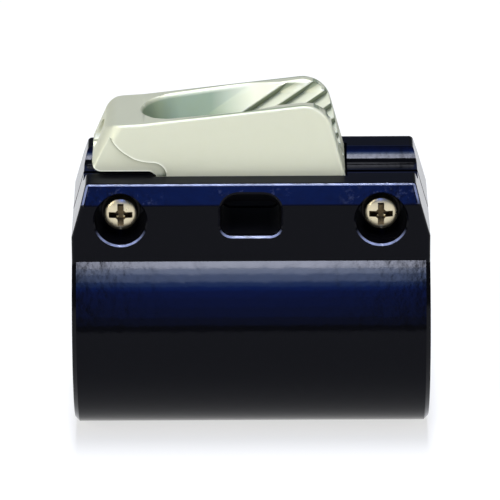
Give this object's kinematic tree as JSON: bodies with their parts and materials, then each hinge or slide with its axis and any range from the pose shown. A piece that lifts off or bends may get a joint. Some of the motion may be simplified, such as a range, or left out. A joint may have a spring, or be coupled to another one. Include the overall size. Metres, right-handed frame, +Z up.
{
  "type": "jam cleat on tube clamp",
  "caption": "Toothed V-groove jam cleat for a small rope, held on a split clamp ring for a round tube by cross-recess screws.",
  "frame": {"origin": "middle of the clamp ring's bore, half way along its length", "axes": "+X along the bore towards the open tail of the cleat's groove, +Z up through the cleat, -Y towards the screw heads"},
  "size_m": [0.0726, 0.0465, 0.0712],
  "materials": {
    "clamp_plastic": "smooth moulded black, semi-gloss",
    "cast_aluminium": "die-cast and tumbled, satin",
    "stainless": "bright stainless"
  },
  "bodies": {
    "root": {"clamp_body": "clamp_plastic", "jam_cleat": "cast_aluminium", "clamp_screws": "stainless", "clamp_washers": "stainless", "clamp_nuts": "stainless"}
  },
  "joints": []
}
